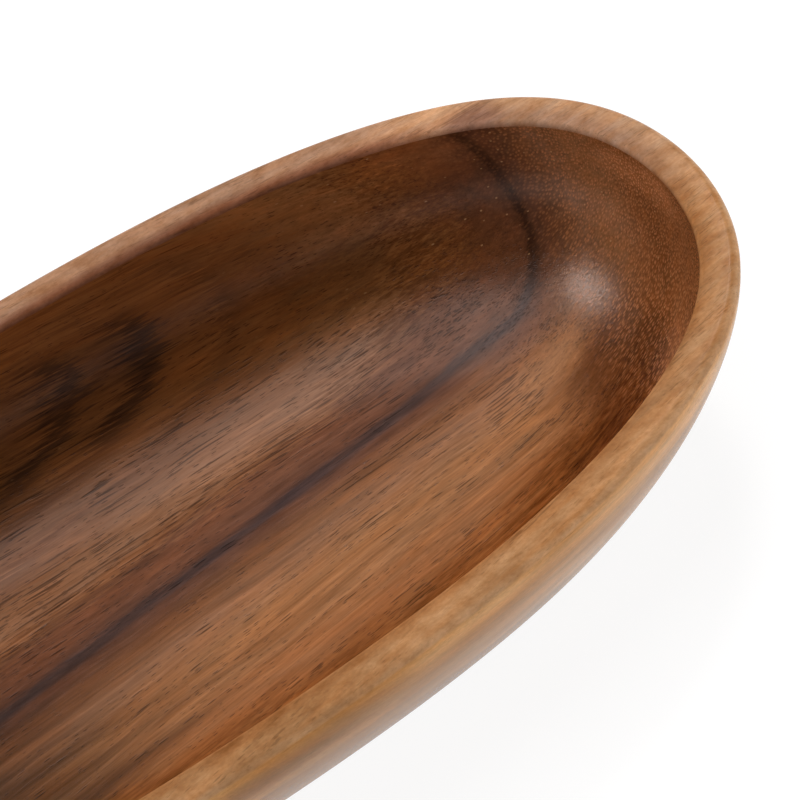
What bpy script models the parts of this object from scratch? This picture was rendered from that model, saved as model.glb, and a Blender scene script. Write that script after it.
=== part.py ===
"""A boat-shaped serving tray carved from one solid board of acacia.

Run with: blender --background --python part.py
Metres, +Z up. The origin is the middle of the flat base, the long axis is X and the two tips point along +X and -X.

The tray is one piece of wood, so it is one object. Its skin is a stack of closed level rings joined by rows of
faces: up the outside from the base, over the rim, and down the inside to the flat floor.
"""

import math

import bmesh
import bpy
import numpy as np

MM = 0.001

# Overall sizes.
TRAY_LENGTH = 300.0 * MM
TRAY_WIDTH = 137.0 * MM
TRAY_HEIGHT = 45.0 * MM
RIM_THICKNESS = 8.0 * MM
FLOOR_THICKNESS = 8.0 * MM

# How far the outside of the flat base stands in from the outside of the rim.
BASE_INSET_END = 23.0 * MM
BASE_INSET_SIDE = 22.0 * MM

# How far the hollow's curve reaches in from the rim before it meets the flat floor.
COVE_REACH_END = 50.0 * MM
COVE_REACH_SIDE = 33.0 * MM

# Edges softened by sanding.
RIM_OUTER_ROUND = 2.0 * MM
RIM_INNER_ROUND = 1.2 * MM
BASE_EDGE_EASE = 3.0 * MM

# Each level outline is an ellipse that swells outwards: shares by which it widens (on the flanks, at the tips).
RIM_SWELL_SHARES = (0.24, 0.155)
BASE_SWELL_SHARES = (0.26, 0.18)
FLOOR_SWELL_SHARES = (0.2, 0.12)
FLANK_SWELL_POWER = 2
TIP_SWELL_POWER = 8

# Shape of the two wall curves: the outside leans in as a power of the drop, the inside is a superelliptic cove.
OUTER_LEAN_POWER = 1.35
COVE_POWER = 2.0

# Where two faces meet more sharply than this, the shading keeps the edge.
SHARP_ANGLE = math.radians(30.0)

# How finely the skin is divided.
POINTS_PER_QUARTER = 24
OUTER_WALL_ROWS = 8
COVE_ROWS = 14
ROUND_ROWS = 3
OUTLINE_SAMPLES = 2000

WOOD_COLOUR = (0.42, 0.23, 0.115, 1.0)
WOOD_ROUGHNESS = 0.42


class Outline:
    """A level outline, an ellipse with swollen flanks and tips, whose points are found by the way they face."""

    def __init__(self, half_length, half_width, swell_shares):
        flank_share, tip_share = swell_shares
        turn = np.linspace(0.0, math.pi / 2, OUTLINE_SAMPLES)
        along, across = np.cos(turn), np.sin(turn)
        along[-1] = 0.0
        swell = 1 + flank_share * along**FLANK_SWELL_POWER + tip_share * along**TIP_SWELL_POWER
        swell_slope = (
            flank_share * FLANK_SWELL_POWER * along ** (FLANK_SWELL_POWER - 1)
            + tip_share * TIP_SWELL_POWER * along ** (TIP_SWELL_POWER - 1)
        )
        self.x = half_length * along
        self.y = half_width * across * swell
        self.facing = np.arctan2(half_length * across, half_width * (along * swell - across**2 * swell_slope))

    def evenly_spread_facings(self, count):
        """Facings of count points in the first quarter, spread half by arc length and half by turn."""
        steps = np.hypot(np.diff(self.x), np.diff(self.y))
        arc = np.concatenate(([0.0], np.cumsum(steps)))
        measure = arc / arc[-1] + self.facing / self.facing[-1]
        return np.interp(np.linspace(0.0, measure[-1], count + 1), measure, self.facing)

    def point(self, facing):
        """The point of the whole outline that faces that way, for any angle."""
        quarter = math.acos(min(1.0, abs(math.cos(facing))))
        x = float(np.interp(quarter, self.facing, self.x))
        y = float(np.interp(quarter, self.facing, self.y))
        return math.copysign(x, math.cos(facing)), math.copysign(y, math.sin(facing))


def all_round(quarter_facings):
    """Facings all round the tray, anticlockwise from the +X tip, mirrored from those of the first quarter."""
    first = list(quarter_facings)
    second = [math.pi - f for f in reversed(first[:-1])]
    half = first + second
    return half + [f + math.pi for f in half[1:-1]]


def outer_wall_profile():
    """(share of the base inset, height) up the outside, from the flat base to just under the rim's outer round."""
    wall_height = TRAY_HEIGHT - RIM_OUTER_ROUND
    lean = BASE_INSET_SIDE * OUTER_LEAN_POWER / wall_height
    ease_rise = BASE_EDGE_EASE / math.hypot(1.0, lean)
    foot = (BASE_INSET_SIDE, 0.0)
    inside = (BASE_INSET_SIDE + BASE_EDGE_EASE, 0.0)

    def wall(height):
        return BASE_INSET_SIDE * ((wall_height - height) / wall_height) ** OUTER_LEAN_POWER, height

    profile = [bezier(inside, foot, wall(ease_rise), step / ROUND_ROWS) for step in range(ROUND_ROWS)]
    for row in range(OUTER_WALL_ROWS + 1):
        profile.append(wall(ease_rise + (wall_height - ease_rise) * row / OUTER_WALL_ROWS))
    return [(inset / BASE_INSET_SIDE, height) for inset, height in profile]


def bezier(start, corner, end, share):
    """A point of the quadratic curve that rounds a corner."""
    rest = 1.0 - share
    return tuple(
        rest * rest * a + 2.0 * rest * share * b + share * share * c for a, b, c in zip(start, corner, end)
    )


def cove_profile():
    """(share of the cove's reach, height) down the inside, from just under the rim's inner round to the floor."""
    depth = TRAY_HEIGHT - RIM_INNER_ROUND - FLOOR_THICKNESS
    profile = []
    for row in range(COVE_ROWS + 1):
        turn = math.pi / 2 * row / COVE_ROWS
        drop = math.sin(turn) ** (2 / COVE_POWER)
        reach = 1.0 - max(0.0, math.cos(turn)) ** (2 / COVE_POWER)
        profile.append((reach, TRAY_HEIGHT - RIM_INNER_ROUND - depth * drop))
    return profile


def tray_rings():
    """The level rings of the skin in order, from the flat base round to the flat floor."""
    opening_length = TRAY_LENGTH / 2 - RIM_THICKNESS
    opening_width = TRAY_WIDTH / 2 - RIM_THICKNESS
    opening = Outline(opening_length, opening_width, RIM_SWELL_SHARES)
    base = Outline(TRAY_LENGTH / 2 - BASE_INSET_END, TRAY_WIDTH / 2 - BASE_INSET_SIDE, BASE_SWELL_SHARES)
    floor = Outline(opening_length - COVE_REACH_END, opening_width - COVE_REACH_SIDE, FLOOR_SWELL_SHARES)
    facings = all_round(opening.evenly_spread_facings(POINTS_PER_QUARTER))

    def rim_point(facing, out):
        x, y = opening.point(facing)
        return x + out * math.cos(facing), y + out * math.sin(facing)

    def between(first, second, share):
        return tuple(a + share * (b - a) for a, b in zip(first, second))

    rings = []
    for share, height in outer_wall_profile():
        rings.append([(*between(rim_point(f, RIM_THICKNESS), base.point(f), share), height) for f in facings])
    for row in range(1, ROUND_ROWS + 1):
        turn = math.pi / 2 * row / ROUND_ROWS
        out = RIM_THICKNESS - RIM_OUTER_ROUND * (1.0 - math.cos(turn))
        height = TRAY_HEIGHT - RIM_OUTER_ROUND * (1.0 - math.sin(turn))
        rings.append([(*rim_point(f, out), height) for f in facings])
    for row in range(ROUND_ROWS):
        turn = math.pi / 2 * row / ROUND_ROWS
        out = RIM_INNER_ROUND * (1.0 - math.sin(turn))
        height = TRAY_HEIGHT - RIM_INNER_ROUND * (1.0 - math.cos(turn))
        rings.append([(*rim_point(f, out), height) for f in facings])
    for share, height in cove_profile():
        rings.append([(*between(opening.point(f), floor.point(f), share), height) for f in facings])
    return rings


def cap_flat(mesh, ring, faces_up):
    """Closes a level ring with strips that cross the tray from one side to the other."""
    count = len(ring)
    for k in range(count // 2):
        strip = [ring[k], ring[k + 1], ring[count - k - 1], ring[-k]]
        corners = list(dict.fromkeys(strip))
        mesh.faces.new(corners if faces_up else corners[::-1])


def build_tray():
    """The whole tray as one closed object."""
    mesh = bmesh.new()
    rings = [[mesh.verts.new(point) for point in ring] for ring in tray_rings()]
    for lower, upper in zip(rings, rings[1:]):
        for k in range(len(lower)):
            after = (k + 1) % len(lower)
            mesh.faces.new((lower[k], lower[after], upper[after], upper[k]))
    cap_flat(mesh, rings[0], faces_up=False)
    cap_flat(mesh, rings[-1], faces_up=True)
    data = bpy.data.meshes.new("tray_body")
    mesh.to_mesh(data)
    mesh.free()
    tray = bpy.data.objects.new("tray_body", data)
    bpy.context.scene.collection.objects.link(tray)
    data.shade_smooth()
    data.set_sharp_from_angle(angle=SHARP_ANGLE)
    data.materials.append(oiled_acacia())
    return tray


def oiled_acacia():
    """The wood's mean colour and satin finish."""
    material = bpy.data.materials.new("oiled_acacia")
    material.use_nodes = True
    shader = material.node_tree.nodes["Principled BSDF"]
    shader.inputs["Base Color"].default_value = WOOD_COLOUR
    shader.inputs["Roughness"].default_value = WOOD_ROUGHNESS
    shader.inputs["Metallic"].default_value = 0.0
    return material


def main():
    for leftover in list(bpy.data.objects):
        bpy.data.objects.remove(leftover, do_unlink=True)
    build_tray()


main()
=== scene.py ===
"""The looks of the boat-shaped serving tray: one board of oiled acacia, carved hollow, on a white table.

Metres, +Z up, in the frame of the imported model. The wood is a solid texture in the tray's own space: every
colour band, stripe and pore is found from how far a point lies from the tree's pith, so the grain runs
through the board and comes out right on each carved face.
"""

import math

import bmesh
import bpy
import numpy as np
from mathutils import Matrix, Vector


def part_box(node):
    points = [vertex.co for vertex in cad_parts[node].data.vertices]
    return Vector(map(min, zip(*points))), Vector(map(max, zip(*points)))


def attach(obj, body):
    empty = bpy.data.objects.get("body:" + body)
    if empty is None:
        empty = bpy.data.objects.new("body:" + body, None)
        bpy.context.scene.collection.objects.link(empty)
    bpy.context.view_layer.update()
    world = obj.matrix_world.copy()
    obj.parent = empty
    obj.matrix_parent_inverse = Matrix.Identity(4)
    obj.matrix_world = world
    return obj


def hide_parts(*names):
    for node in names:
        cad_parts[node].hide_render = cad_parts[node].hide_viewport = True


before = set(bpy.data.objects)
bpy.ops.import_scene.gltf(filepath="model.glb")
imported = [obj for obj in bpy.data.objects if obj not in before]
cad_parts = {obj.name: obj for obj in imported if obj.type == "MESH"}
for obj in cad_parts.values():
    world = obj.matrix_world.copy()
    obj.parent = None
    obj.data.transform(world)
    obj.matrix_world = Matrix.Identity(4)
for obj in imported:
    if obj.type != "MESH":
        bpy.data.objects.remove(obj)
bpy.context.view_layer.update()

MM = 0.001

# The tray's form, as in the model: wall sizes and how far the curves reach in.
RIM_THICKNESS = 8.0 * MM
FLOOR_THICKNESS = 8.0 * MM
BASE_INSET_END = 23.0 * MM
BASE_INSET_SIDE = 22.0 * MM
COVE_REACH_END = 50.0 * MM
COVE_REACH_SIDE = 33.0 * MM
RIM_OUTER_ROUND = 2.0 * MM
RIM_INNER_ROUND = 1.2 * MM
BASE_EDGE_EASE = 3.0 * MM
RIM_SWELL_SHARES = (0.24, 0.155)
BASE_SWELL_SHARES = (0.26, 0.18)
FLOOR_SWELL_SHARES = (0.2, 0.12)
FLANK_SWELL_POWER = 2
TIP_SWELL_POWER = 8
OUTER_LEAN_POWER = 1.35

# How finely the skin is divided.
POINTS_PER_QUARTER = 96
OUTER_WALL_ROWS = 26
COVE_ROWS = 44
ROUND_ROWS = 8
FLAT_ROWS = 14
OUTLINE_SAMPLES = 4000

# Each point of the skin keeps its share of the way over the rim, for the wood's tones.
OUTER_EDGE_SHARE = 0.0
INNER_EDGE_SHARE = 1.0
HOLLOW_SHARE = 2.0

# From here down to the finish, lengths are in mm, tones that change another tone are factors, and a pair of
# numbers for a range says where a change starts and where it is complete.

# The board in the log: the pith runs nearly along X, beside and above the tray, and the fibres lean together
# towards a far point beyond the +X tip, swaying a little.
PITH_Y = -77.7
PITH_Z = 94.7
PITH_SLOPE = 0.0736
GATHER_X = 426.0
GATHER_Y = 28.0
GATHER_Z = 20.0
FIBRE_SWAY = 2.5

# The rings drift along the board, and bend where the end wall rises.
DRIFT_FROM_X = 14.0
DRIFT_SLOPE = 0.026
BEND_X = (92.0, 114.0)
BEND_Z = (17.0, 32.0)
BEND_LOW_DOWN = -4.2
BEND_HIGH_UP = -2.3

# Noises, as (grains per mm along and across the fibres, detail, roughness).
SWAY_NOISE = ((0.03, 0.08, 0.08), 1.0, 0.5)
BROAD_NOISE = ((0.010, 0.22, 0.22), 2.0, 0.5)
LINE_NOISE = ((0.014, 1.4, 1.4), 4.0, 0.62)
DASH_NOISE = ((0.14, 1.7, 1.7), 2.0, 0.6)
THREAD_NOISE = ((0.10, 5.0, 5.0), 1.0, 0.5)
PATCH_NOISE = ((0.05, 0.3, 0.3), 2.0, 0.5)
MOTTLE_NOISE = ((0.10, 0.55, 0.55), 3.0, 0.6)
FLECK_NOISE = ((0.22, 0.9, 0.9), 3.0, 0.65)
CROWD_NOISE = ((0.03, 0.16, 0.16), 1.0, 0.5)
CLOUD_NOISE = ((0.018, 0.09, 0.09), 2.0, 0.5)
BURL_NOISE = ((0.16, 0.36, 0.36), 5.0, 0.68)
GRAIN_NOISE = ((1.1, 1.6, 1.6), 2.0, 0.5)

# The part of a noise that is spread out: the narrower it is, the more contrast.
SOFT_RANGE = (0.3, 0.7)
HARD_RANGE = (0.35, 0.65)
BURL_RANGE = (0.32, 0.68)
SPOT_RANGE = (0.25, 0.75)

# Where a surface is a wall, where it cuts the fibres across, and where it belongs to the rim or the outside.
WALL_FACING_Z = (0.92, 0.75)
END_GRAIN_FACING_X = (0.25, 0.60)
OUTSIDE_BELOW_SHARE = (1.15, 0.97)
RIM_FACING_Z = (0.0, 0.45)
RIM_FROM_SHARE = (0.3, 0.6)

# Growth bands, as (distance from the pith, tone).
DEEP_AMBER = (0.185, 0.062, 0.018)
AMBER = (0.225, 0.078, 0.024)
HONEY = (0.252, 0.102, 0.038)
TAN = (0.222, 0.098, 0.047)
CHESTNUT = (0.168, 0.066, 0.027)
RED_BROWN = (0.124, 0.046, 0.022)
BARK_BROWN = (0.044, 0.020, 0.013)
HALF_BARK = (0.136, 0.056, 0.025)
FAINT_BARK = (0.125, 0.050, 0.022)
GROWTH_BANDS = (
    (60.0, AMBER),
    (88.0, AMBER),
    (93.0, DEEP_AMBER),
    (98.0, AMBER),
    (104.0, HONEY),
    (108.0, HONEY),
    (112.5, TAN),
    (115.5, CHESTNUT),
    (119.5, RED_BROWN),
    (127.5, RED_BROWN),
    (130.5, CHESTNUT),
    (133.0, TAN),
    (136.5, TAN),
    (139.5, CHESTNUT),
    (141.0, CHESTNUT),
    (141.9, FAINT_BARK),
    (142.8, CHESTNUT),
    (144.6, CHESTNUT),
    (145.3, BARK_BROWN),
    (145.8, BARK_BROWN),
    (146.5, HALF_BARK),
    (147.5, HALF_BARK),
    (148.0, BARK_BROWN),
    (148.4, BARK_BROWN),
    (149.2, HALF_BARK),
    (160.0, HALF_BARK),
)

# How far lines and dashes fray a band's edge, and the shares of that near the pith and far from it.
LINE_FRAY = 1.3
DASH_FRAY = 1.5
DASH_FRAY_RING = (137.0, 142.0)
DASH_FRAY_FAR = 0.5
NEAR_FRAY_RING = (122.0, 130.0)
NEAR_FRAY = 0.4
FAR_FRAY_RING = (138.0, 143.0)
FAR_FRAY = 0.55

# The flame figure on the +Y wall: where it closes, and the dark mass behind its arcs.
FLAME_TOP_Z = (29.0, 36.0)
FLAME_FOOT_Z = (17.0, 12.0)
FLAME_FOOT_FADE = 0.7
FLAME_RING = (143.0, 144.5)
MASS_X = 26.0
MASS_FRAY = 26.0
MASS_EDGE = (14.0, 4.0)
MASS_Y = (38.0, 42.0)
MASS_Z = (21.0, 17.0)
MASS_SHARE = 0.2

# The dark streak: a worn core and a haze round it, by distance from one ring. It narrows up the end wall.
STREAK_RING = 121.2
STREAK_FRAY = 0.10
STREAK_NARROWS_X = (80.0, 105.0)
STREAK_NARROWING = 1.5
STREAK_CORE = (2.2, 0.3)
STREAK_CORE_FULL = 0.92
STREAK_CORE_WORN = 0.74
STREAK_HAZE = (4.5, 0.5)
STREAK_HAZE_SHARE = 0.32
STREAK_BLUE = (0.038, 0.024, 0.022)
STREAK_BROWN = (0.034, 0.014, 0.007)

# A darker patch in the middle of the tray's -Y side.
DARK_PATCH_X = -48.0
DARK_PATCH_Y = -19.0
DARK_PATCH_REACH_X = 68.0
DARK_PATCH_REACH_Y = 35.0
DARK_PATCH_FRAY = 0.2
DARK_PATCH_EDGE = (0.2, 1.0)
DARK_PATCH_TONE = 0.32

# Painted shade where the near walls leave the floor, on faces turned towards +Y and -X, and its spots.
FOOT_Z = (24.0, 13.0)
FOOT_RING = (114.0, 106.0)
SIDE_FOOT_FACING_Y = (-0.02, 0.36)
END_FOOT_FACING_X = (-0.08, -0.35)
SIDE_FOOT_SHADE = (0.74, 0.63, 0.48)
END_FOOT_SHADE = (0.37, 0.28, 0.22)
SPOT_DARK = (0.68, 0.56, 0.44)
SPOT_LIGHT = (1.32, 1.36, 1.36)

# Stripes along the grain: how much each noise lightens and darkens the wood, also beside the streak.
BESIDE_STREAK_FROM = (116.0, 120.0)
BESIDE_STREAK_TO = (130.0, 126.0)
BROAD_DEPTH = 0.12
LINES_DEPTH = 0.24
LINES_DEPTH_BESIDE = 0.084
MOTTLE_DEPTH = 0.12
MOTTLE_DEPTH_BESIDE = 0.24
DASHES_DEPTH = 0.06
THREADS_DEPTH = 0.08

# Warmer and cooler tones: along the floor, darker towards -X and lighter and cooler towards +X, where the
# cooler tone is painted sheen; in patches of the wood; and on the side and end walls, warmer as painted warm
# bounce light.
FLOOR_LIGHTENS_X = (-40.0, 60.0)
FLOOR_DIM = (0.86, 0.85, 0.83)
FLOOR_LIGHT_AND_SHEEN = (1.07, 1.13, 1.22)
PATCH_COOL = (0.96, 1.0, 1.06)
PATCH_WARM = (1.05, 0.99, 0.92)
END_WALL_FACING_X = (-0.35, -0.60)
WALL_BOUNCE_WARMTH = (0.97, 0.84, 0.54)
END_WARM = (0.96, 0.94, 0.92)

# How crowded the pores are. Combed wood has its long ones closer together.
CROWDED_RING = (122.0, 129.0)
CROWD_SHIFT = (-0.03, 0.07)
CROWD_RANGE = (0.38, 0.60)
CROWD_LEAST = 0.42
CROWD_MOST = 0.96
WALL_CROWD = 0.65
COMBED_RING = (127.0, 131.0)
COMBED_X = (45.0, 70.0)
UNCOMBED = 0.62
COMBED = 1.20

# Pores, as (cells per mm along and across the fibres, reach as a share of a cell, depth).
SHORT_PORES = ((0.40, 2.6, 2.6), 0.50, 0.75)
MIDDLE_PORES = ((0.15, 1.5, 1.5), 0.45, 0.74)
LONG_PORES = ((0.050, 1.7, 1.7), 0.44, 0.78)
LINE_PORES = ((0.016, 1.35, 1.35), 0.44, 0.70)
SHORT_PORES_CROWD = 0.75
LINE_PORES_CROWD = 0.8
PORE_EDGE = (0.04, -0.12)
PORE_TONE = 0.28

# End grain: vessels cut across, oiled and pale in a darker wood. A few painted glints, pale specks, lie near
# the end.
END_VESSEL_SQUEEZE = (1.0, 1.2, 0.75)
END_VESSEL_SPACING = 0.88
END_VESSEL_EDGE = (0.46, 0.14)
END_VESSEL_FAINTEST = 0.25
END_VESSEL_RING = (122.0, 112.0)
END_VESSEL_SHARES = (0.15, 0.9)
END_GRAIN_TONE = 0.78
END_GRAIN_FLECK = (0.370, 0.132, 0.048)
SPECK_CELLS = (0.25, 0.42, 0.42)
SPECK_CHOSEN = (0.52, 0.62)
SPECK_EDGE = (0.13, 0.05)
SPECK_X = (70.0, 95.0)
SPECK_SHARES = (0.10, 0.8)
PAINTED_GLINT = (0.38, 0.200, 0.085)

# The rim's tones, as (share of the way from its outer to its inner edge, tone): on the -Y side, the +Y side
# and the tip. They are partly the wood's and partly painted light, and the -Y side's outer edge is painted
# light.
RIM_PAINTED_LIGHT = (0.55, 0.32, 0.17)
RIM_SAND = (0.40, 0.22, 0.12)
RIM_GOLD = (0.37, 0.185, 0.08)
RIM_ROSE = (0.30, 0.165, 0.10)
RIM_BROWN = (0.29, 0.13, 0.05)
RIM_SHADE = (0.16, 0.065, 0.035)
NEAR_RIM = ((0.0, RIM_PAINTED_LIGHT), (0.15, RIM_GOLD), (0.5, RIM_GOLD), (0.85, RIM_BROWN))
FAR_RIM = ((0.0, RIM_ROSE), (0.6, RIM_ROSE), (0.9, RIM_SHADE))
TIP_RIM = ((0.0, RIM_SAND), (0.3, RIM_SAND), (0.7, RIM_ROSE))
FAR_RIM_Y = (-15.0, 20.0)
TIP_RIM_X = (100.0, 124.0)

# The outside's tones, partly the wood's and partly painted light: paler towards the tip, painted shade low
# down and painted light up to the rim, and mottled.
OUTSIDE_GOLD = (0.420, 0.205, 0.074)
OUTSIDE_PALE = (0.520, 0.280, 0.125)
OUTSIDE_PALE_X = (20.0, 90.0)
OUTSIDE_PAINTED_LIGHT_Z = (34.0, 44.0)
OUTSIDE_PAINTED_LIGHT = (0.86, 1.20)
CLOUD_DARK = (0.84, 0.80, 0.74)
CLOUD_LIGHT = (1.14, 1.17, 1.20)
BURL_DARK = (0.80, 0.70, 0.58)
BURL_LIGHT = (1.18, 1.22, 1.26)
OUTSIDE_BROAD_DEPTH = 0.10
OUTSIDE_LINES_DEPTH = 0.12
OUTSIDE_LINES_DEPTH_RIM = 0.08
OUTSIDE_GRAIN_DEPTH = 0.08
OUTSIDE_PORE_TONE = 0.66
OUTSIDE_STREAK_SHARE = 0.3

# Lighter and darker places: middle, reach, and how much they change the tone. Some are painted light and
# shade: the lit top and shaded middle of the +Y wall, a highlight at the top of the end wall, and shade at
# the foot of the walls by the end.
PLACES = (
    # Painted light: the top of the +Y wall, lit.
    ((108.0, 44.0, 40.0), (22.0, 14.0, 10.0), (1.75, 1.75, 1.65)),
    # Painted shade: the middle of the +Y wall.
    ((88.0, 45.0, 20.0), (30.0, 16.0, 11.0), (0.62, 0.60, 0.56)),
    ((36.0, 54.0, 24.0), (10.0, 10.0, 7.0), (0.80, 0.80, 0.86)),
    # Painted highlight: the top of the end wall.
    ((142.0, 8.0, 39.0), (9.0, 20.0, 5.9), (1.60, 1.70, 1.90)),
    ((109.0, 4.0, 10.0), (15.0, 9.0, 6.0), (1.35, 1.28, 1.08)),
    # Painted shade: the foot of the end wall's -Y side.
    ((125.0, -13.0, 18.0), (11.0, 12.0, 7.0), (0.72, 0.72, 0.74)),
    # Painted shade: the foot of the -Y wall by the end.
    ((98.0, -21.0, 10.0), (22.0, 9.0, 8.0), (0.80, 0.74, 0.66)),
    ((121.0, 40.0, 45.0), (9.0, 8.0, 4.0), (0.74, 0.70, 0.78)),
    ((14.0, -66.0, 39.0), (36.0, 14.0, 14.0), (0.72, 0.68, 0.62)),
)
PLACE_EDGE = (1.0, 0.25)
PLACE_FRAY = 0.12

# The satin finish: relief, roughness and gloss. The rim and the outside have less oil on them.
RELIEF_STRENGTH = 0.5
RELIEF_DEPTH = 0.04 * MM
ROUGHNESS = (0.18, 0.25)
GLOSS = (0.14, 0.22)
END_GLOSS_X = (90.0, 108.0)
END_GLOSS = 1.35
BARE_Z = (40.5, 43.5)
BARE_GLOSS = 0.15
GLOSS_TINT = (1.0, 0.83, 0.76, 1.0)

# The white table, a hair below the base: its colour for light, and its colour and glow as the camera sees it.
TABLE_SIZE = 6.0
TABLE_Z = -0.05 * MM
TABLE_WHITE = (0.92, 0.92, 0.92)
TABLE_SEEN = (0.13, 0.13, 0.13)
TABLE_GLOW = 0.92
TABLE_ROUGHNESS = 0.9

# The studio: a dim room with a pale horizon, brighter in front, and three softboxes.
HORIZON_GLOW = 1.7
HORIZON_TO_BACK = -1.4
HORIZON_TO_RIGHT = -0.1
HORIZON_TOP = (0.16, 0.28)
SOFTBOX_DISTANCE = 1.1
SOFTBOXES = (
    # name, direction, side in metres, power in watts
    ("overhead_softbox", (-0.066, 0.142, 0.988), 0.77, 7.0),
    ("back_right_softbox", (0.481, 0.433, 0.763), 0.25, 6.5),
    ("back_left_softbox", (-0.553, 0.427, 0.715), 0.22, 4.0),
)

# The camera, from where the photograph was taken.
CAMERA_AIM = Vector((71.62, -12.93, 45.0)) * MM
CAMERA_HEADING = math.radians(75.443)
CAMERA_ELEVATION = math.radians(49.139)
CAMERA_ROLL = math.radians(-21.190)
CAMERA_DISTANCE = 847.31 * MM
CAMERA_LENS = 194.46
CAMERA_SENSOR = 36.0
CAMERA_CLIP_START = 0.01

UNCHANGED = (1.0, 1.0, 1.0)
WHITE = (1.0, 1.0, 1.0, 1.0)


class Outline:
    """A level outline, an ellipse with swollen flanks and tips. Its points are found by the way they face."""

    def __init__(self, half_length, half_width, swell_shares):
        flank_share, tip_share = swell_shares
        turn = np.linspace(0.0, math.pi / 2, OUTLINE_SAMPLES)
        along, across = np.cos(turn), np.sin(turn)
        along[-1] = 0.0
        swell = 1 + flank_share * along**FLANK_SWELL_POWER + tip_share * along**TIP_SWELL_POWER
        swell_slope = (
            flank_share * FLANK_SWELL_POWER * along ** (FLANK_SWELL_POWER - 1)
            + tip_share * TIP_SWELL_POWER * along ** (TIP_SWELL_POWER - 1)
        )
        self.x = half_length * along
        self.y = half_width * across * swell
        facing_along = half_width * (along * swell - across**2 * swell_slope)
        self.facing = np.arctan2(half_length * across, facing_along)

    def evenly_spread_facings(self, count):
        """Facings of count points in the first quarter, spread half by arc length and half by turn."""
        steps = np.hypot(np.diff(self.x), np.diff(self.y))
        arc = np.concatenate(([0.0], np.cumsum(steps)))
        measure = arc / arc[-1] + self.facing / self.facing[-1]
        return np.interp(np.linspace(0.0, measure[-1], count + 1), measure, self.facing)

    def points(self, facings):
        """The points of the whole outline that face those ways, as an array of x and y."""
        quarter = np.arccos(np.minimum(1.0, np.abs(np.cos(facings))))
        x = np.interp(quarter, self.facing, self.x)
        y = np.interp(quarter, self.facing, self.y)
        return np.stack([np.copysign(x, np.cos(facings)), np.copysign(y, np.sin(facings))], axis=1)


def all_round(quarter_facings):
    """Facings all round the tray, anticlockwise from the +X tip, mirrored from the first quarter's."""
    first = list(quarter_facings)
    second = [math.pi - f for f in reversed(first[:-1])]
    half = first + second
    return np.array(half + [f + math.pi for f in half[1:-1]])


def outer_wall_profile(wall_height):
    """(share of the base inset, height) up the outside, from the flat base to just under the rim's round."""
    lean = BASE_INSET_SIDE * OUTER_LEAN_POWER / wall_height
    ease_rise = BASE_EDGE_EASE / math.hypot(1.0, lean)

    def wall_inset(height):
        return BASE_INSET_SIDE * ((wall_height - height) / wall_height) ** OUTER_LEAN_POWER

    profile = []
    for row in range(ROUND_ROWS):
        share = row / ROUND_ROWS
        inset = (
            (1 - share) ** 2 * (BASE_INSET_SIDE + BASE_EDGE_EASE)
            + 2 * (1 - share) * share * BASE_INSET_SIDE
            + share**2 * wall_inset(ease_rise)
        )
        profile.append((inset / BASE_INSET_SIDE, share**2 * ease_rise))
    for row in range(OUTER_WALL_ROWS + 1):
        height = ease_rise + (wall_height - ease_rise) * row / OUTER_WALL_ROWS
        profile.append((wall_inset(height) / BASE_INSET_SIDE, height))
    return profile


def tray_rings(length, width, height):
    """The level rings of the skin in order, from the middle of the base round to the middle of the floor.

    Each ring comes with its share of the way over the rim.
    """
    opening_length = length / 2 - RIM_THICKNESS
    opening_width = width / 2 - RIM_THICKNESS
    opening = Outline(opening_length, opening_width, RIM_SWELL_SHARES)
    base = Outline(length / 2 - BASE_INSET_END, width / 2 - BASE_INSET_SIDE, BASE_SWELL_SHARES)
    floor = Outline(opening_length - COVE_REACH_END, opening_width - COVE_REACH_SIDE, FLOOR_SWELL_SHARES)
    facings = all_round(opening.evenly_spread_facings(POINTS_PER_QUARTER))
    opening_points = opening.points(facings)
    outward = np.stack([np.cos(facings), np.sin(facings)], axis=1)
    rim_outside = opening_points + RIM_THICKNESS * outward
    base_points = base.points(facings)
    floor_points = floor.points(facings)

    rings = []

    def add(points, level, rim_share):
        rings.append((np.column_stack([points, np.full(len(points), level)]), rim_share))

    wall = outer_wall_profile(height - RIM_OUTER_ROUND)
    base_edge = rim_outside + wall[0][0] * (base_points - rim_outside)
    for row in range(1, FLAT_ROWS):
        add(base_edge * row / FLAT_ROWS, 0.0, OUTER_EDGE_SHARE)
    for share, level in wall:
        add(rim_outside + share * (base_points - rim_outside), level, OUTER_EDGE_SHARE)
    for row in range(1, ROUND_ROWS + 1):
        turn = math.pi / 2 * row / ROUND_ROWS
        inset = RIM_OUTER_ROUND * (1.0 - math.cos(turn))
        level = height - RIM_OUTER_ROUND * (1.0 - math.sin(turn))
        add(rim_outside - inset * outward, level, inset / RIM_THICKNESS)
    for row in range(ROUND_ROWS):
        turn = math.pi / 2 * row / ROUND_ROWS
        out = RIM_INNER_ROUND * (1.0 - math.sin(turn))
        level = height - RIM_INNER_ROUND * (1.0 - math.cos(turn))
        add(opening_points + out * outward, level, 1.0 - out / RIM_THICKNESS)
    depth = height - RIM_INNER_ROUND - FLOOR_THICKNESS
    for row in range(COVE_ROWS + 1):
        turn = math.pi / 2 * row / COVE_ROWS
        reach = 1.0 - math.cos(turn)
        level = FLOOR_THICKNESS + depth * (1.0 - math.sin(turn))
        rim_share = INNER_EDGE_SHARE if row == 0 else HOLLOW_SHARE
        add(opening_points + reach * (floor_points - opening_points), level, rim_share)
    for row in range(FLAT_ROWS - 1, 0, -1):
        add(floor_points * row / FLAT_ROWS, FLOOR_THICKNESS, HOLLOW_SHARE)
    return rings


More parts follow.
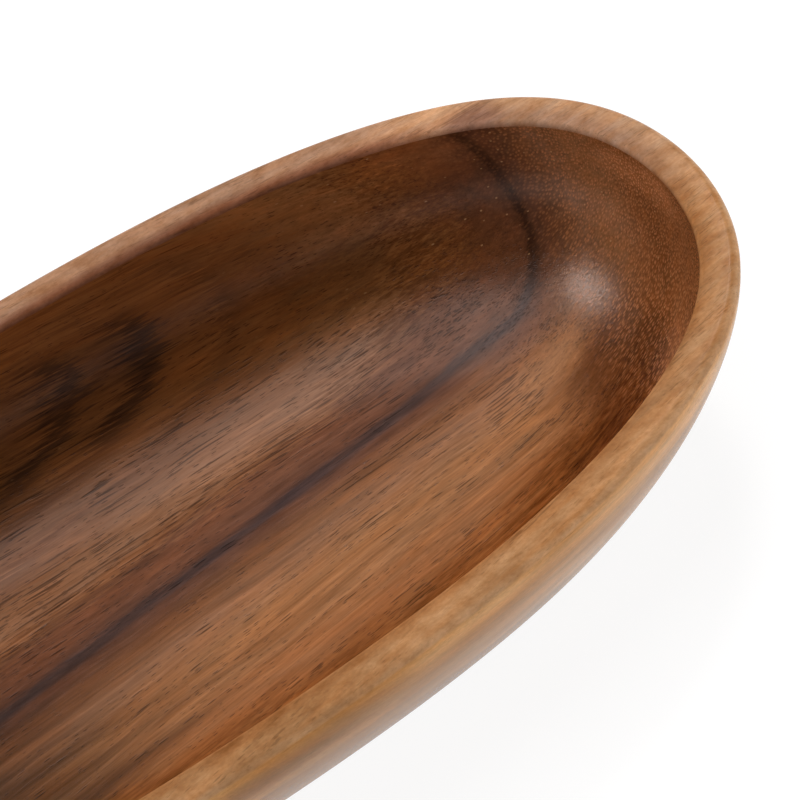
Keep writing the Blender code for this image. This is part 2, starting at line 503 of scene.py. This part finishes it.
def carved_tray(low, high):
    """The tray's whole skin as one closed mesh between the two corners of its solid's box."""
    length, width, height = high - low
    rings = tray_rings(length, width, height)
    mesh = bmesh.new()
    skin = [[mesh.verts.new(point) for point in ring] for ring, rim_share in rings]
    for lower, upper in zip(skin, skin[1:]):
        for k in range(len(lower)):
            after = (k + 1) % len(lower)
            mesh.faces.new((lower[k], lower[after], upper[after], upper[k]))
    base_middle = mesh.verts.new((0.0, 0.0, 0.0))
    floor_middle = mesh.verts.new((0.0, 0.0, FLOOR_THICKNESS))
    for k in range(len(skin[0])):
        after = (k + 1) % len(skin[0])
        mesh.faces.new((base_middle, skin[0][after], skin[0][k]))
        mesh.faces.new((floor_middle, skin[-1][k], skin[-1][after]))
    data = bpy.data.meshes.new("carved_tray")
    mesh.to_mesh(data)
    mesh.free()
    shares = [rim_share for ring, rim_share in rings for point in ring] + [OUTER_EDGE_SHARE, HOLLOW_SHARE]
    data.attributes.new("rim_share", "FLOAT", "POINT").data.foreach_set("value", shares)
    data.shade_smooth()
    tray = bpy.data.objects.new("carved_tray", data)
    bpy.context.scene.collection.objects.link(tray)
    return tray


class Shader:
    """Adds nodes to a material or a world. An input is a plain number, a tuple or another node's output."""

    def __init__(self, owner):
        owner.use_nodes = True
        self.tree = owner.node_tree

    @property
    def surface(self):
        return self.tree.nodes["Principled BSDF"]

    def wire(self, socket, value):
        if isinstance(value, bpy.types.NodeSocket):
            self.tree.links.new(value, socket)
        else:
            socket.default_value = value

    def add(self, kind, **settings):
        node = self.tree.nodes.new(kind)
        for name, value in settings.items():
            setattr(node, name, value)
        return node

    def feed(self, kind, values, **settings):
        """A new node with its first inputs given in order."""
        node = self.add(kind, **settings)
        for socket, value in zip(node.inputs, values):
            self.wire(socket, value)
        return node

    def math(self, operation, *values):
        return self.feed("ShaderNodeMath", values, operation=operation).outputs[0]

    def product(self, first, *others):
        """Numbers multiplied together."""
        for other in others:
            first = self.math("MULTIPLY", first, other)
        return first

    def vector(self, operation, *values):
        return self.feed("ShaderNodeVectorMath", values, operation=operation).outputs["Vector"]

    def length(self, vector):
        return self.feed("ShaderNodeVectorMath", (vector,), operation="LENGTH").outputs["Value"]

    def combine(self, x, y, z):
        return self.feed("ShaderNodeCombineXYZ", (x, y, z)).outputs[0]

    def separate(self, vector):
        return self.feed("ShaderNodeSeparateXYZ", (vector,)).outputs

    def rise(self, value, ends, low=0.0, high=1.0):
        """A smooth step from low to high between the two ends."""
        values = (value, *ends, low, high)
        return self.feed("ShaderNodeMapRange", values, interpolation_type="SMOOTHSTEP").outputs[0]

    def ramp(self, value, ends, low=0.0, high=1.0):
        """A straight ramp from low to high between the two ends, level beyond them."""
        return self.feed("ShaderNodeMapRange", (value, *ends, low, high)).outputs[0]

    def blend(self, share, low, high):
        """From low to high as the share goes from 0 to 1."""
        return self.ramp(share, (0.0, 1.0), low, high)

    def swing(self, noise, amount):
        """A factor near 1 that goes up and down with a noise by that amount."""
        return self.math("MULTIPLY_ADD", self.ramp(noise, SOFT_RANGE, -1.0, 1.0), amount, 1.0)

    def noise(self, place, kind, output="Fac"):
        """Cloudy noise, near 0.5."""
        stretch, detail, roughness = kind
        node = self.add("ShaderNodeTexNoise")
        self.wire(node.inputs["Vector"], self.vector("MULTIPLY", place, stretch))
        node.inputs["Scale"].default_value = 1.0
        node.inputs["Detail"].default_value = detail
        node.inputs["Roughness"].default_value = roughness
        return node.outputs[output]

    def cells(self, place, stretch):
        """Distance to the nearest of the scattered points, and that point's own random colour."""
        node = self.add("ShaderNodeTexVoronoi")
        self.wire(node.inputs["Vector"], self.vector("MULTIPLY", place, stretch))
        node.inputs["Scale"].default_value = 1.0
        return node.outputs["Distance"], node.outputs["Color"]

    def tubes(self, place, spacing):
        """Distance to the nearest of scattered lines along X, in spacings, and that line's own colour."""
        node = self.add("ShaderNodeTexVoronoi", voronoi_dimensions="2D")
        along, side, height = self.separate(place)
        self.wire(node.inputs["Vector"], self.combine(side, height, 0.0))
        node.inputs["Scale"].default_value = 1.0 / spacing
        return node.outputs["Distance"], node.outputs["Color"]

    def vessels(self, place, kind, crowd):
        """Slender dark pores, each with its own width up to the reach, fewer where they are less crowded."""
        stretch, reach, depth = kind
        near, own = self.cells(place, stretch)
        width = self.product(self.separate(own)[0], crowd, reach)
        return self.rise(self.math("SUBTRACT", near, width), PORE_EDGE, 0.0, depth)

    def mix(self, share, first, second):
        """A colour between two others."""
        node = self.add("ShaderNodeMix", data_type="RGBA")
        self.wire(node.inputs[0], share)
        self.wire(node.inputs[6], first if isinstance(first, bpy.types.NodeSocket) else (*first, 1.0))
        self.wire(node.inputs[7], second if isinstance(second, bpy.types.NodeSocket) else (*second, 1.0))
        return node.outputs[2]

    def tint(self, colour, amount):
        """The colour made lighter or darker by a factor."""
        return self.vector("MULTIPLY", colour, self.combine(amount, amount, amount))

    def striped(self, colour, *stripes):
        """The colour with stripes, given as pairs of a noise and how deep its stripes are."""
        for noise, depth in stripes:
            colour = self.tint(colour, self.swing(noise, depth))
        return colour

    def bands(self, value, stops):
        """Colour by value, between stops of (value, colour)."""
        first, last = stops[0][0], stops[-1][0]
        node = self.add("ShaderNodeValToRGB")
        self.wire(node.inputs[0], self.ramp(value, (first, last)))
        ramp = node.color_ramp
        while len(ramp.elements) < len(stops):
            ramp.elements.new(1.0)
        for element, (place, colour) in zip(ramp.elements, stops):
            element.position = (place - first) / (last - first)
            element.color = (*colour, 1.0)
        return node.outputs[0]


class Acacia(Shader):
    """Where a point lies in the board, and the layers of the wood's colour there."""

    def __init__(self, material):
        super().__init__(material)
        place = self.add("ShaderNodeTexCoord")
        self.point = self.vector("MULTIPLY", place.outputs["Object"], (1 / MM, 1 / MM, 1 / MM))
        self.x, self.y, self.z = self.separate(self.point)
        self.facing_x, self.facing_y, self.facing_z = self.separate(place.outputs["Normal"])
        self.wall = self.rise(self.facing_z, WALL_FACING_Z)
        self.rim_share = self.add("ShaderNodeAttribute", attribute_name="rim_share").outputs["Fac"]
        self.outside = self.rise(self.rim_share, OUTSIDE_BELOW_SHARE)

        self.fibre = self.fibre_space()
        self.broad = self.noise(self.fibre, BROAD_NOISE)
        self.lines = self.noise(self.fibre, LINE_NOISE)
        self.dashes = self.noise(self.fibre, DASH_NOISE)
        self.threads = self.noise(self.fibre, THREAD_NOISE)
        self.mottle = self.noise(self.fibre, MOTTLE_NOISE)
        patches = self.ramp(self.noise(self.fibre, PATCH_NOISE), HARD_RANGE)
        self.warmth = self.mix(patches, PATCH_COOL, PATCH_WARM)

        self.true_ring = self.pith_distance()
        self.ring = self.math("SUBTRACT", self.true_ring, self.ring_drift())
        self.fray = self.ring_fray()
        self.streak = self.streak_share()
        self.pore = self.pores()

    def fibre_space(self):
        """Along X, and across the fibres where they would be beside the tray's middle."""
        gather = self.math("DIVIDE", GATHER_X, self.math("SUBTRACT", GATHER_X, self.x))
        fibre_y = self.math("MULTIPLY_ADD", self.math("SUBTRACT", self.y, GATHER_Y), gather, GATHER_Y)
        fibre_z = self.math("MULTIPLY_ADD", self.math("SUBTRACT", self.z, GATHER_Z), gather, GATHER_Z)
        straight = self.combine(self.x, fibre_y, fibre_z)
        sway = self.noise(straight, SWAY_NOISE, output="Color")
        sway = self.vector("SUBTRACT", sway, (0.5, 0.5, 0.5))
        return self.vector("MULTIPLY_ADD", sway, (0.0, FIBRE_SWAY, FIBRE_SWAY), straight)

    def pith_distance(self):
        across = self.math("MULTIPLY_ADD", self.x, -PITH_SLOPE, self.math("ADD", self.y, -PITH_Y))
        above = self.math("ADD", self.z, -PITH_Z)
        return self.length(self.combine(0.0, across, above))

    def ring_drift(self):
        bend = self.product(
            self.rise(self.x, BEND_X),
            self.rise(self.z, BEND_Z, BEND_LOW_DOWN, BEND_HIGH_UP),
        )
        return self.math("MULTIPLY_ADD", self.math("SUBTRACT", self.x, DRIFT_FROM_X), DRIFT_SLOPE, bend)

    def ring_fray(self):
        """How far each fibre pulls a ring in or out."""
        dashes = self.product(
            self.ramp(self.dashes, SOFT_RANGE, -DASH_FRAY, DASH_FRAY),
            self.rise(self.true_ring, DASH_FRAY_RING, 1.0, DASH_FRAY_FAR),
        )
        return self.math("ADD", self.ramp(self.lines, SOFT_RANGE, -LINE_FRAY, LINE_FRAY), dashes)

    def streak_share(self):
        """How much of the dark streak there is."""
        place = self.math("MULTIPLY_ADD", self.fray, STREAK_FRAY, self.ring)
        off = self.math("ABSOLUTE", self.math("SUBTRACT", place, STREAK_RING))
        off = self.product(off, self.rise(self.x, STREAK_NARROWS_X, 1.0, STREAK_NARROWING))
        worn = self.ramp(self.dashes, SOFT_RANGE, STREAK_CORE_FULL, STREAK_CORE_WORN)
        core = self.product(self.rise(off, STREAK_CORE), worn)
        haze = self.product(self.rise(off, STREAK_HAZE), STREAK_HAZE_SHARE)
        return self.math("MAXIMUM", core, haze)

    def pores(self):
        """Slender vessels along the grain, and dark lines where they run together."""
        crowd = self.noise(self.fibre, CROWD_NOISE)
        crowd = self.math("ADD", crowd, self.rise(self.ring, CROWDED_RING, *CROWD_SHIFT))
        crowd = self.ramp(crowd, CROWD_RANGE, CROWD_LEAST, CROWD_MOST)
        crowd = self.product(crowd, self.blend(self.wall, 1.0, WALL_CROWD))
        combed = self.math("MAXIMUM", self.rise(self.ring, COMBED_RING), self.rise(self.x, COMBED_X))
        combed = self.product(crowd, self.blend(combed, UNCOMBED, COMBED))
        short_crowd = self.math("MINIMUM", crowd, SHORT_PORES_CROWD)
        line_crowd = self.product(combed, LINE_PORES_CROWD)
        pore = self.vessels(self.fibre, SHORT_PORES, short_crowd)
        pore = self.math("MAXIMUM", pore, self.vessels(self.fibre, MIDDLE_PORES, crowd))
        pore = self.math("MAXIMUM", pore, self.vessels(self.fibre, LONG_PORES, combed))
        return self.math("MAXIMUM", pore, self.vessels(self.fibre, LINE_PORES, line_crowd))

    def growth(self):
        """The growth bands, frayed from fibre to fibre."""
        share = self.product(
            self.rise(self.true_ring, NEAR_FRAY_RING, NEAR_FRAY, 1.0),
            self.rise(self.true_ring, FAR_FRAY_RING, 1.0, FAR_FRAY),
        )
        return self.bands(self.math("MULTIPLY_ADD", self.fray, share, self.ring), GROWTH_BANDS)

    def flame(self, colour):
        """Closes the flame figure below the rim and at its foot, and adds the dark mass behind it."""
        top = self.rise(self.z, FLAME_TOP_Z)
        foot = self.rise(self.z, FLAME_FOOT_Z, 0.0, FLAME_FOOT_FADE)
        closed = self.math("MINIMUM", self.math("MAXIMUM", top, foot), self.rise(self.ring, FLAME_RING))
        colour = self.mix(closed, colour, CHESTNUT)
        fray = self.math("ADD", self.dashes, self.lines)
        edge = self.math("MULTIPLY_ADD", fray, MASS_FRAY, self.math("SUBTRACT", self.x, MASS_X))
        mass = self.product(
            self.rise(edge, MASS_EDGE),
            self.rise(self.y, MASS_Y),
            self.rise(self.z, MASS_Z),
            MASS_SHARE,
        )
        return self.mix(mass, colour, BARK_BROWN)

    def dark_streak(self, colour):
        """Blue-grey on the floor, dark brown up the end."""
        return self.mix(self.streak, colour, self.mix(self.wall, STREAK_BLUE, STREAK_BROWN))

    def dark_patch(self, colour):
        """A darker patch."""
        stretch = (1 / DARK_PATCH_REACH_X, 1 / DARK_PATCH_REACH_Y, 0.0)
        shift = (-DARK_PATCH_X / DARK_PATCH_REACH_X, -DARK_PATCH_Y / DARK_PATCH_REACH_Y, 0.0)
        off = self.length(self.vector("MULTIPLY_ADD", self.fibre, stretch, shift))
        off = self.math("ADD", off, self.ramp(self.broad, SOFT_RANGE, -DARK_PATCH_FRAY, DARK_PATCH_FRAY))
        return self.tint(colour, self.rise(off, DARK_PATCH_EDGE, DARK_PATCH_TONE, 1.0))

    def foot(self, colour):
        """Painted shade at the foot of the near walls, where they face +Y and -X, spotted on the side."""
        low = self.product(self.rise(self.z, FOOT_Z), self.rise(self.ring, FOOT_RING))
        side = self.product(low, self.rise(self.facing_y, SIDE_FOOT_FACING_Y))
        end = self.product(low, self.rise(self.facing_x, END_FOOT_FACING_X))
        # Painted shade: darker where the near walls leave the floor.
        painted_shade = self.mix(end, self.mix(side, UNCHANGED, SIDE_FOOT_SHADE), END_FOOT_SHADE)
        colour = self.vector("MULTIPLY", colour, painted_shade)
        flecks = self.noise(self.fibre, FLECK_NOISE)
        spots = self.math(
            "ADD",
            self.ramp(self.mottle, SOFT_RANGE, 0.0, 0.5),
            self.ramp(flecks, SOFT_RANGE, 0.0, 0.5),
        )
        spots = self.mix(self.ramp(spots, SPOT_RANGE), SPOT_DARK, SPOT_LIGHT)
        return self.mix(side, colour, self.vector("MULTIPLY", colour, spots))

    def stripes(self, colour):
        """Stripes along the grain, from broad to fine. The wood beside the streak is mottled instead."""
        beside = self.product(
            self.rise(self.ring, BESIDE_STREAK_FROM),
            self.rise(self.ring, BESIDE_STREAK_TO),
        )
        return self.striped(
            colour,
            (self.broad, BROAD_DEPTH),
            (self.lines, self.blend(beside, LINES_DEPTH, LINES_DEPTH_BESIDE)),
            (self.mottle, self.blend(beside, MOTTLE_DEPTH, MOTTLE_DEPTH_BESIDE)),
            (self.dashes, DASHES_DEPTH),
            (self.threads, THREADS_DEPTH),
        )

    def warm_and_cool(self, colour):
        """The floor lightens towards the end, its cooler tone there painted sheen; patches differ; and the
        walls are warmer, with painted warm bounce light.
        """
        along = self.mix(self.rise(self.x, FLOOR_LIGHTENS_X), FLOOR_DIM, FLOOR_LIGHT_AND_SHEEN)
        colour = self.mix(self.wall, self.vector("MULTIPLY", colour, along), colour)
        colour = self.vector("MULTIPLY", colour, self.warmth)
        # Painted warm bounce light on the walls, less of it on the end walls.
        painted_bounce = self.mix(self.rise(self.facing_x, END_WALL_FACING_X), WALL_BOUNCE_WARMTH, END_WARM)
        return self.mix(self.wall, colour, self.vector("MULTIPLY", colour, painted_bounce))

    def cut(self, colour):
        """Pores where the surface runs along the fibres, and end grain where it cuts them across."""
        along = self.tint(colour, self.blend(self.pore, 1.0, PORE_TONE))
        dot, own = self.tubes(self.vector("MULTIPLY", self.fibre, END_VESSEL_SQUEEZE), END_VESSEL_SPACING)
        fleck = self.product(
            self.rise(dot, END_VESSEL_EDGE),
            self.blend(self.separate(own)[1], END_VESSEL_FAINTEST, 1.0),
            self.rise(self.ring, END_VESSEL_RING, *END_VESSEL_SHARES),
        )
        across = self.mix(fleck, self.tint(colour, END_GRAIN_TONE), END_GRAIN_FLECK)
        return self.mix(self.rise(self.math("ABSOLUTE", self.facing_x), END_GRAIN_FACING_X), along, across)

    def painted_glints(self, colour):
        """A few painted glints, pale specks on the walls, most of them near the end."""
        near, own = self.cells(self.fibre, SPECK_CELLS)
        speck = self.product(
            self.rise(near, SPECK_EDGE),
            self.rise(self.separate(own)[0], SPECK_CHOSEN),
            self.wall,
            self.rise(self.x, SPECK_X, *SPECK_SHARES),
        )
        return self.mix(speck, colour, PAINTED_GLINT)

    def outside_and_rim(self, colour):
        """The outside and the rim, paler and more golden than the hollow, partly the wood's tone and partly
        painted light, and mottled.
        """
        rim = self.math(
            "MAXIMUM",
            self.rise(self.facing_z, RIM_FACING_Z),
            self.rise(self.rim_share, RIM_FROM_SHARE),
        )
        far_rim = self.bands(self.rim_share, FAR_RIM)
        far_rim = self.mix(self.rise(self.x, TIP_RIM_X), far_rim, self.bands(self.rim_share, TIP_RIM))
        rim_tone = self.mix(self.rise(self.y, FAR_RIM_Y), self.bands(self.rim_share, NEAR_RIM), far_rim)
        pale = self.mix(self.rise(self.x, OUTSIDE_PALE_X), OUTSIDE_GOLD, OUTSIDE_PALE)
        # Painted shade low on the outside, and painted light up to the rim.
        pale = self.tint(pale, self.rise(self.z, OUTSIDE_PAINTED_LIGHT_Z, *OUTSIDE_PAINTED_LIGHT))
        pale = self.mix(rim, pale, rim_tone)
        clouds = self.ramp(self.noise(self.point, CLOUD_NOISE), HARD_RANGE)
        burl = self.ramp(self.noise(self.point, BURL_NOISE), BURL_RANGE)
        clouds = self.mix(clouds, CLOUD_DARK, CLOUD_LIGHT)
        burl = self.mix(burl, BURL_DARK, BURL_LIGHT)
        pale = self.vector("MULTIPLY", pale, self.mix(rim, clouds, burl))
        pale = self.striped(
            pale,
            (self.broad, OUTSIDE_BROAD_DEPTH),
            (self.lines, self.blend(rim, OUTSIDE_LINES_DEPTH, OUTSIDE_LINES_DEPTH_RIM)),
            (self.noise(self.point, GRAIN_NOISE), OUTSIDE_GRAIN_DEPTH),
        )
        pale = self.tint(pale, self.blend(self.pore, 1.0, OUTSIDE_PORE_TONE))
        pale = self.vector("MULTIPLY", pale, self.warmth)
        pale = self.mix(self.product(self.streak, OUTSIDE_STREAK_SHARE), pale, RED_BROWN)
        return self.mix(self.outside, colour, pale)

    def places(self, colour):
        """The lighter and darker places, some of them painted light and shade, with frayed edges."""
        fray = self.ramp(self.mottle, SOFT_RANGE, -PLACE_FRAY, PLACE_FRAY)
        for middle, reach, tone in PLACES:
            stretch = tuple(1 / r for r in reach)
            shift = tuple(-m / r for m, r in zip(middle, reach))
            off = self.length(self.vector("MULTIPLY_ADD", self.point, stretch, shift))
            share = self.rise(self.math("ADD", off, fray), PLACE_EDGE)
            colour = self.vector("MULTIPLY", colour, self.mix(share, UNCHANGED, tone))
        return colour

    def satin_finish(self):
        """A little relief from the fibres and pores, and gloss that changes with them."""
        bump = self.add("ShaderNodeBump")
        bump.inputs["Strength"].default_value = RELIEF_STRENGTH
        bump.inputs["Distance"].default_value = RELIEF_DEPTH
        fibres = self.math("ADD", self.threads, self.dashes)
        self.wire(bump.inputs["Height"], self.math("MULTIPLY_ADD", self.pore, -1.0, fibres))
        bare = self.math("MAXIMUM", self.outside, self.rise(self.z, BARE_Z))
        gloss = self.product(
            self.ramp(self.lines, HARD_RANGE, *GLOSS),
            self.rise(self.x, END_GLOSS_X, 1.0, END_GLOSS),
            self.blend(bare, 1.0, BARE_GLOSS),
        )
        self.wire(self.surface.inputs["Normal"], bump.outputs["Normal"])
        self.wire(self.surface.inputs["Roughness"], self.ramp(self.lines, SOFT_RANGE, *ROUGHNESS))
        self.wire(self.surface.inputs["Specular IOR Level"], gloss)
        self.surface.inputs["Specular Tint"].default_value = GLOSS_TINT


def oiled_acacia():
    """Acacia heartwood under a satin oil: growth bands, stripes along the grain, pores and end grain."""
    material = bpy.data.materials.new("oiled_acacia")
    wood = Acacia(material)
    colour = wood.growth()
    for layer in (
        wood.flame,
        wood.dark_streak,
        wood.dark_patch,
        wood.foot,
        wood.stripes,
        wood.warm_and_cool,
        wood.cut,
        wood.painted_glints,
        wood.outside_and_rim,
        wood.places,
    ):
        colour = layer(colour)
    wood.wire(wood.surface.inputs["Base Color"], colour)
    wood.satin_finish()
    return material


def studio_camera():
    """The camera at the photograph's viewing angle."""
    forward = Vector(
        (
            math.cos(CAMERA_HEADING) * math.cos(CAMERA_ELEVATION),
            math.sin(CAMERA_HEADING) * math.cos(CAMERA_ELEVATION),
            -math.sin(CAMERA_ELEVATION),
        )
    )
    level_right = Vector((math.sin(CAMERA_HEADING), -math.cos(CAMERA_HEADING), 0.0))
    level_up = level_right.cross(forward)
    right = math.cos(CAMERA_ROLL) * level_right + math.sin(CAMERA_ROLL) * level_up
    up = math.cos(CAMERA_ROLL) * level_up - math.sin(CAMERA_ROLL) * level_right
    data = bpy.data.cameras.new("camera")
    data.lens = CAMERA_LENS
    data.sensor_width = CAMERA_SENSOR
    data.sensor_fit = "HORIZONTAL"
    data.clip_start = CAMERA_CLIP_START
    camera = bpy.data.objects.new("camera", data)
    camera.matrix_world = Matrix.Translation(CAMERA_AIM - CAMERA_DISTANCE * forward) @ Matrix(
        (
            (right.x, up.x, -forward.x, 0.0),
            (right.y, up.y, -forward.y, 0.0),
            (right.z, up.z, -forward.z, 0.0),
            (0.0, 0.0, 0.0, 1.0),
        )
    )
    bpy.context.scene.collection.objects.link(camera)
    bpy.context.scene.camera = camera


def softbox(name, towards, size, power):
    """A square lamp that looks at the tray from that direction."""
    data = bpy.data.lights.new(name, "AREA")
    data.size = size
    data.energy = power
    lamp = bpy.data.objects.new(name, data)
    direction = Vector(towards).normalized()
    lamp.location = direction * SOFTBOX_DISTANCE
    lamp.rotation_euler = direction.to_track_quat("Z", "Y").to_euler()
    bpy.context.scene.collection.objects.link(lamp)


def white_table():
    """A white floor that shows as white and keeps the tray's soft shadow."""
    bpy.ops.mesh.primitive_plane_add(size=TABLE_SIZE, location=(0.0, 0.0, TABLE_Z))
    table = bpy.context.active_object
    table.name = "table"
    material = bpy.data.materials.new("white_table")
    shader = Shader(material)
    path = shader.add("ShaderNodeLightPath")
    seen = shader.math("MAXIMUM", path.outputs["Is Camera Ray"], path.outputs["Is Glossy Ray"])
    shader.wire(shader.surface.inputs["Base Color"], shader.mix(seen, TABLE_WHITE, TABLE_SEEN))
    shader.surface.inputs["Emission Color"].default_value = WHITE
    shader.wire(shader.surface.inputs["Emission Strength"], shader.product(seen, TABLE_GLOW))
    shader.surface.inputs["Roughness"].default_value = TABLE_ROUGHNESS
    shader.surface.inputs["Specular IOR Level"].default_value = 0.0
    table.data.materials.append(material)


def studio_light():
    """A dim room with a pale horizon, and softboxes overhead and at the back."""
    world = bpy.data.worlds.new("studio")
    bpy.context.scene.world = world
    room = Shader(world)
    background = world.node_tree.nodes["Background"]
    background.inputs["Color"].default_value = WHITE
    to_right, to_back, up = room.separate(room.add("ShaderNodeTexCoord").outputs["Generated"])
    level = room.math("MULTIPLY_ADD", to_back, HORIZON_TO_BACK, HORIZON_GLOW)
    level = room.math("MULTIPLY_ADD", to_right, HORIZON_TO_RIGHT, level)
    glow = room.product(level, room.rise(up, HORIZON_TOP, 1.0, 0.0))
    seen = room.add("ShaderNodeLightPath").outputs["Is Camera Ray"]
    room.wire(background.inputs["Strength"], room.blend(seen, glow, 1.0))
    for name, towards, size, power in SOFTBOXES:
        softbox(name, towards, size, power)


tray = carved_tray(*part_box("tray_body"))
tray.data.materials.append(oiled_acacia())
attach(tray, "root")
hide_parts("tray_body")
white_table()
studio_light()
studio_camera()
bpy.context.scene.view_settings.view_transform = "Standard"
